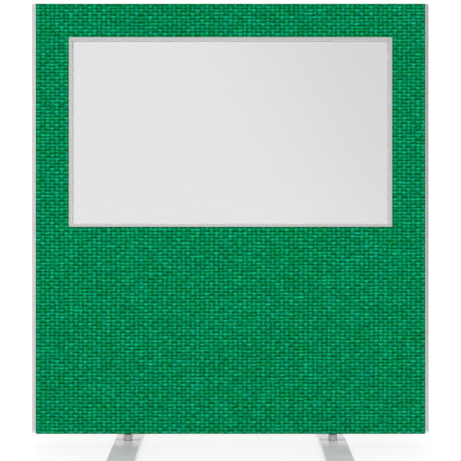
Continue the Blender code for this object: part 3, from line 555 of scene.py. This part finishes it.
def cloth_piece(name, path, half_width, begin, end, window, weave):
    """One face of the cloth as a closed sheet with every strand raised on its outer side."""
    window_x, window_low, window_high = window
    fixed_a = [-half_width, -window_x, window_x, half_width]
    first, last = begin - SAME_PLACE, end + SAME_PLACE
    fixed_s = {round(s, 7) for s in path.fixed() + [window_low, window_high, begin, end]}
    fixed_s = sorted(s for s in fixed_s if first <= s <= last)
    a = sample_lines(weave.columns, WARP_SAMPLES, fixed_a)
    s = sample_lines(weave.rows, WEFT_SAMPLES, fixed_s)
    s = s[(s >= first) & (s <= last)]
    grid_a, grid_s = np.meshgrid(a, s, indexing="ij")
    strand_a, strand_s = weave.coordinates(grid_a, grid_s)

    # how far each place is from the window, the side edges, the hems and the bends at the top
    beyond = np.maximum(window_low - grid_s, grid_s - window_high)
    beside = np.maximum(np.abs(grid_a) - window_x, beyond)
    from_rim = np.minimum(half_width - np.abs(grid_a), np.abs(beside))
    from_end = np.minimum(grid_s, path.length - grid_s)
    from_fold = np.abs(np.abs(grid_s - path.length / 2) - path.fold_at)
    calm = smoothstep(np.minimum(np.minimum(from_rim, from_end), from_fold) / DRIFT_MASK)
    free_of_bead = smoothstep((np.abs(beside) - BEAD_COVER) / BEAD_PRESS_FADE)
    crown = PROUD * (BEAD_PRESS + (1 - BEAD_PRESS) * free_of_bead)
    rise = crown - RELIEF * (1 - weave.height(strand_a, strand_s))
    moved_a = grid_a + DRIFT * calm * drift(grid_a, grid_s, SEED + 1)
    moved_s = grid_s + DRIFT * calm * drift(grid_a, grid_s, SEED + 2)

    place, normal = path.at(moved_s.ravel())
    shape = (*grid_s.shape, 2)
    place, normal = place.reshape(shape), normal.reshape(shape)
    outer = np.concatenate([moved_a[..., None], place + rise[..., None] * normal], axis=2)
    inner = np.concatenate([moved_a[..., None], place - CLOTH_THICKNESS * normal], axis=2)

    # the outer grid, strips across the inner side, and rims that close the sheet
    outer_id = np.arange(grid_a.size).reshape(grid_a.shape)
    inner_id = outer_id + grid_a.size
    posts = [int(np.argmin(np.abs(a - x))) for x in fixed_a]
    _, left_side, right_side, _ = posts
    sill, head = (int(np.argmin(np.abs(s - z))) for z in (window_low, window_high))
    hole = np.zeros((len(a) - 1, len(s) - 1), bool)
    hole[left_side:right_side, sill:head] = True
    i, j = np.nonzero(~hole)
    corners = ((0, 0), (0, 1), (1, 1), (1, 0))
    quads = np.stack([outer_id[i + di, j + dj] for di, dj in corners], 1)[:, ::-1]
    faces = quads.tolist()
    for left, right in zip(posts, posts[1:]):
        for k in range(len(s) - 1):
            if not hole[left, k]:
                faces.append([*inner_id[left, k:k + 2], *inner_id[right, k:k + 2][::-1]])

    def rim(i, levels, flip):
        for k in levels:
            face = [*outer_id[i, k:k + 2], *inner_id[i, k:k + 2][::-1]]
            faces.append(face[::-1] if flip else face)

    rim(0, range(len(s) - 1), False)
    rim(-1, range(len(s) - 1), True)
    rim(left_side, range(sill, head), True)
    rim(right_side, range(sill, head), False)
    faces.append([*outer_id[::-1, 0], *inner_id[posts, 0]])
    faces.append([*outer_id[:, -1], *inner_id[posts[::-1], -1]])
    across = outer_id[left_side:right_side + 1]
    faces.append([*across[:, sill], *inner_id[[right_side, left_side], sill]])
    faces.append([*across[::-1, head], *inner_id[[left_side, right_side], head]])

    points = np.concatenate([outer.reshape(-1, 3), inner.reshape(-1, 3)])
    used = np.unique(np.concatenate([np.asarray(face) for face in faces]))
    new_id = np.zeros(len(points), int)
    new_id[used] = np.arange(len(used))
    mesh = bpy.data.meshes.new(name)
    mesh.from_pydata(points[used].tolist(), [], [new_id[face].tolist() for face in faces])

    # what the cloth's material reads: each place in its crossing, and the tones of the two strands
    x, y = strand_a.ravel()[quads], strand_s.ravel()[quads]
    cell = weave.cell(x.mean(1), y.mean(1))
    lie = np.full((len(mesh.loops), 3), 0.5)
    lie[:quads.size, 0] = (x - cell[0][:, None]).clip(0, 1).ravel()
    lie[:quads.size, 1] = (y - cell[1][:, None]).clip(0, 1).ravel()
    lie[:quads.size, 2] = np.repeat(weave.upright[cell], 4)
    # v runs upward on both faces, so the painted underside shade falls as if lit from above on each
    if begin > 0:
        lie[:quads.size, 1] = 1 - lie[:quads.size, 1]  # the path runs down the back
    thread = np.full((len(mesh.polygons), 3), 0.7)
    for column, tone in enumerate((weave.warp_tone, weave.weft_tone, weave.chance)):
        thread[:len(quads), column] = tone[cell]
    for label, domain, values in (("lie", "CORNER", lie), ("thread", "FACE", thread)):
        data = mesh.attributes.new(label, "FLOAT_VECTOR", domain).data
        data.foreach_set("vector", values.astype(np.float32).ravel())
    mesh.shade_smooth()
    mesh.set_sharp_from_angle(angle=math.radians(SHARP_ANGLE))
    piece = bpy.data.objects.new(name, mesh)
    bpy.context.scene.collection.objects.link(piece)
    return piece


# ---- the model's own measures -------------------------------------------------------------------
CLOTH_LOW, CLOTH_HIGH = (Vector(corner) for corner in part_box("fabric_cover"))
_, BOARD_HIGH = (Vector(corner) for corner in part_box("front_face_board"))
HEAD_LOW, _ = (Vector(corner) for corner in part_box("window_head"))
_, SILL_HIGH = (Vector(corner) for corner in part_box("window_sill"))
_, LEFT_JAMB_HIGH = (Vector(corner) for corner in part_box("left_window_jamb"))
BEAD_LOW, BEAD_HIGH = (Vector(corner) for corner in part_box("front_bead_top"))
CLOTH_THICKNESS = CLOTH_HIGH.z - BOARD_HIGH.z - BOARD_CLEARANCE
WINDOW_X = -LEFT_JAMB_HIGH.x
BEAD_COVER = BEAD_HIGH.x - WINDOW_X
PANEL_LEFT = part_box("left_edge_trim")[0][0]
PANEL_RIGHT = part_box("right_edge_trim")[1][0]
BEAD_OUTER_Y = -BEAD_LOW.y
BEAD_INNER_Y = -CLOTH_LOW.y - BEAD_LIP


def build_cloth():
    """The cover as two sheets, which meet on the middle of the top edge."""
    path = Path(CLOTH_LOW, CLOTH_HIGH)
    half_width = CLOTH_HIGH.x
    weave = Weave((-half_width, half_width), (0.0, path.length))
    material = cloth_material()
    middle = path.length / 2
    for face, begin, end in (("front", 0.0, middle), ("back", middle, path.length)):
        levels = sorted(path.length_at(z, face == "back") for z in (SILL_HIGH.z, HEAD_LOW.z))
        window = (WINDOW_X, *levels)
        piece = cloth_piece(f"cloth_{face}", path, half_width, begin, end, window, weave)
        piece.data.materials.append(material)
        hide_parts("fabric_cover")
        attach(piece, "panel")


def dress_nodes():
    """Materials of the pieces that keep the shape they have in the model."""
    along_x, along_z = (4.0, 400.0, 400.0), (400.0, 400.0, 4.0)
    trim = aluminium_material("anodised_trim", (0.52, 0.52, 0.52), along_z)
    cover(trim, "left_edge_trim", "right_edge_trim")
    level = bead_material("satin_bead_level", along_x)
    upright = bead_material("satin_bead_upright", along_z)
    for face in ("front", "back"):
        cover(level, f"{face}_bead_top", f"{face}_bead_bottom")
        cover(upright, f"{face}_bead_left", f"{face}_bead_right")
    caps = [f"{side}_{end}_cap" for side in ("left", "right") for end in ("top", "bottom")]
    grey = plastic_material("grey_cap_plastic", (0.52, 0.53, 0.53), (0.58, 0.59, 0.59), 0.48)
    cover(grey, *caps)
    nylon = plastic_material("black_nylon", (0.018, 0.018, 0.019), (0.032, 0.032, 0.033), 0.58)
    plate = silver_paint_material("silver_plate_coat", (0.505, 0.458, 0.494), (0.595, 0.540, 0.582))
    # the collar's coat is a darker copy of the plate's silver: painted shade under the panel
    collar = silver_paint_material("silver_collar_painted_shade", (0.36, 0.345, 0.355), (0.43, 0.415, 0.425))
    zinc = zinc_material()
    for side in ("left", "right"):
        cover(plate, f"{side}_foot_plate")
        cover(collar, f"{side}_foot_collar")
        cover(nylon, f"{side}_front_glide", f"{side}_back_glide", f"{side}_friction_washer")
        cover(zinc, f"{side}_pivot_bolt", f"{side}_bolt_washer", f"{side}_mount_plate",
              f"{side}_threaded_insert", f"{side}_mount_screw_1", f"{side}_mount_screw_2")
        cover(zinc, *(f"{side}_trim_screw_{i}" for i in (1, 2, 3)))
    dark, light = (0.50, 0.33, 0.17), (0.70, 0.53, 0.33)
    cover(wood_material("pine_level", dark, light, "X"),
          "bottom_rail", "top_rail", "window_head", "window_sill")
    cover(wood_material("pine_upright", dark, light, "Z"),
          "left_stile", "right_stile", "left_window_jamb", "right_window_jamb")
    cover(fibre_material("fibreboard", (0.30, 0.21, 0.12), (0.44, 0.33, 0.21), 700.0, 0.0001),
          "front_face_board", "back_face_board")
    cover(fibre_material("acoustic_felt", (0.58, 0.56, 0.48), (0.78, 0.76, 0.68), 350.0, 0.0008),
          "lower_infill", "upper_infill", "left_infill", "right_infill")
    cover(pane_material(), "window_pane")
    cover(rubber_material(), "pane_gasket")


# ---- stage, light and camera --------------------------------------------------------------------
def add_plane(name, corners, material):
    """A flat stage piece."""
    mesh = bpy.data.meshes.new(name)
    mesh.from_pydata(corners, [], [(0, 1, 2, 3)])
    mesh.materials.append(material)
    plane = bpy.data.objects.new(name, mesh)
    bpy.context.scene.collection.objects.link(plane)
    return plane


def build_floor():
    """A pale floor lit from below as well, as a product table is, so that shadows stay faint."""
    t = Tree("pale_floor")
    cloud = t.noise(t.place(), 0.7, 2.0)
    material = t.surface(
        Base_Color=t.colours(cloud, ((0.3, (0.21, 0.21, 0.21)), (0.7, (0.23, 0.23, 0.23)))),
        Emission_Color=(1.0, 1.0, 1.0, 1.0), Emission_Strength=FLOOR_GLOW,
        Roughness=0.85, Specular_IOR_Level=0.0,
    )
    signs = ((-1, -1), (1, -1), (1, 1), (-1, 1))
    add_plane("floor", [(x * FLOOR_REACH, y * FLOOR_REACH, 0) for x, y in signs], material)


def build_light():
    """A white studio: even light all round, a key in front, and two pieces for the reflections."""
    world = bpy.data.worlds.new("studio")
    bpy.context.scene.world = world
    t = Tree("studio", world)
    direction = t.nodes.new("ShaderNodeTexCoord").outputs["Generated"]
    _, y, z = t.split(direction)
    from_behind = t.ramp(y, *SKY_TURN, SKY_IN_FRONT, SKY_BEHIND)
    from_above = t.ramp(z, *SKY_RISE, 1.0, SKY_OVERHEAD)
    t.surface(Color=(1.0, 1.0, 1.0, 1.0), Strength=t.math("MULTIPLY", from_behind, from_above))

    light = bpy.data.lights.new("key", "AREA")
    light.shape = "RECTANGLE"
    light.size, light.size_y = KEY_SIZE
    light.energy = KEY_POWER
    key = bpy.data.objects.new("key", light)
    key.location = KEY_PLACE
    key.rotation_euler = (KEY_AIM - KEY_PLACE).to_track_quat("-Z", "Y").to_euler()
    key.visible_camera = False
    key.visible_glossy = False
    key.visible_transmission = False
    bpy.context.scene.collection.objects.link(key)
    build_soft_box()
    build_grey_card()


def only_in_reflections(piece):
    """It neither shows in a picture nor lights or shades anything."""
    piece.visible_camera = False
    piece.visible_transmission = False
    piece.visible_diffuse = False
    piece.visible_shadow = False


def build_soft_box():
    """What the pane reflects: bright on the left, fading towards the lower right."""
    t = Tree("soft_box")
    place = t.nodes.new("ShaderNodeTexCoord").outputs["Object"]
    x, _, z = t.split(place)
    slant = t.math("ADD", x, t.math("MULTIPLY", z, BOX_SLANT))
    (left, right), (bottom, top) = BOX_X, BOX_Z
    inside = t.ramp(x, left, left + BOX_SOFT_EDGE, BOX_EDGE_GLOW, 1.0)
    strength = t.math("MULTIPLY", inside, t.ramp(slant, *BOX_FADE, *BOX_GLOW))
    material = t.surface(
        Base_Color=(0.0, 0.0, 0.0, 1.0), Specular_IOR_Level=0.0,
        Emission_Color=(1.0, 1.0, 1.0, 1.0), Emission_Strength=strength,
    )
    y = bpy.context.scene.camera.location.y - BOX_BEHIND_CAMERA
    corners = [(left, y, bottom), (left, y, top), (right, y, top), (right, y, bottom)]
    only_in_reflections(add_plane("soft_box", corners, material))


def build_grey_card():
    """It darkens what the right edge trim reflects."""
    t = Tree("grey_card")
    material = t.surface(
        Base_Color=(0.04, 0.04, 0.04, 1.0), Roughness=0.9, Specular_IOR_Level=0.0,
    )
    (near, far), (bottom, top) = CARD_Y, CARD_Z
    corners = [(CARD_X, near, bottom), (CARD_X, far, bottom), (CARD_X, far, top), (CARD_X, near, top)]
    only_in_reflections(add_plane("grey_card", corners, material))


def build_camera():
    """A level camera, shifted down a little, that keeps the panel an exact rectangle."""
    data = bpy.data.cameras.new("camera")
    data.lens = LENS
    data.sensor_width = SENSOR
    data.shift_y = -SHIFT_DOWN
    distance = LENS / SENSOR * (PANEL_RIGHT - PANEL_LEFT) / PANEL_SHARE
    middle = (CLOTH_LOW.z + CLOTH_HIGH.z) / 2
    camera = bpy.data.objects.new("camera", data)
    camera.location = (0.0, CLOTH_LOW.y - distance, middle + EYE_ABOVE_MIDDLE)
    camera.rotation_euler = (math.pi / 2, 0, 0)
    bpy.context.scene.collection.objects.link(camera)
    bpy.context.scene.camera = camera


build_camera()
build_floor()
build_light()
build_cloth()
dress_nodes()
bpy.context.scene.view_settings.view_transform = "Standard"
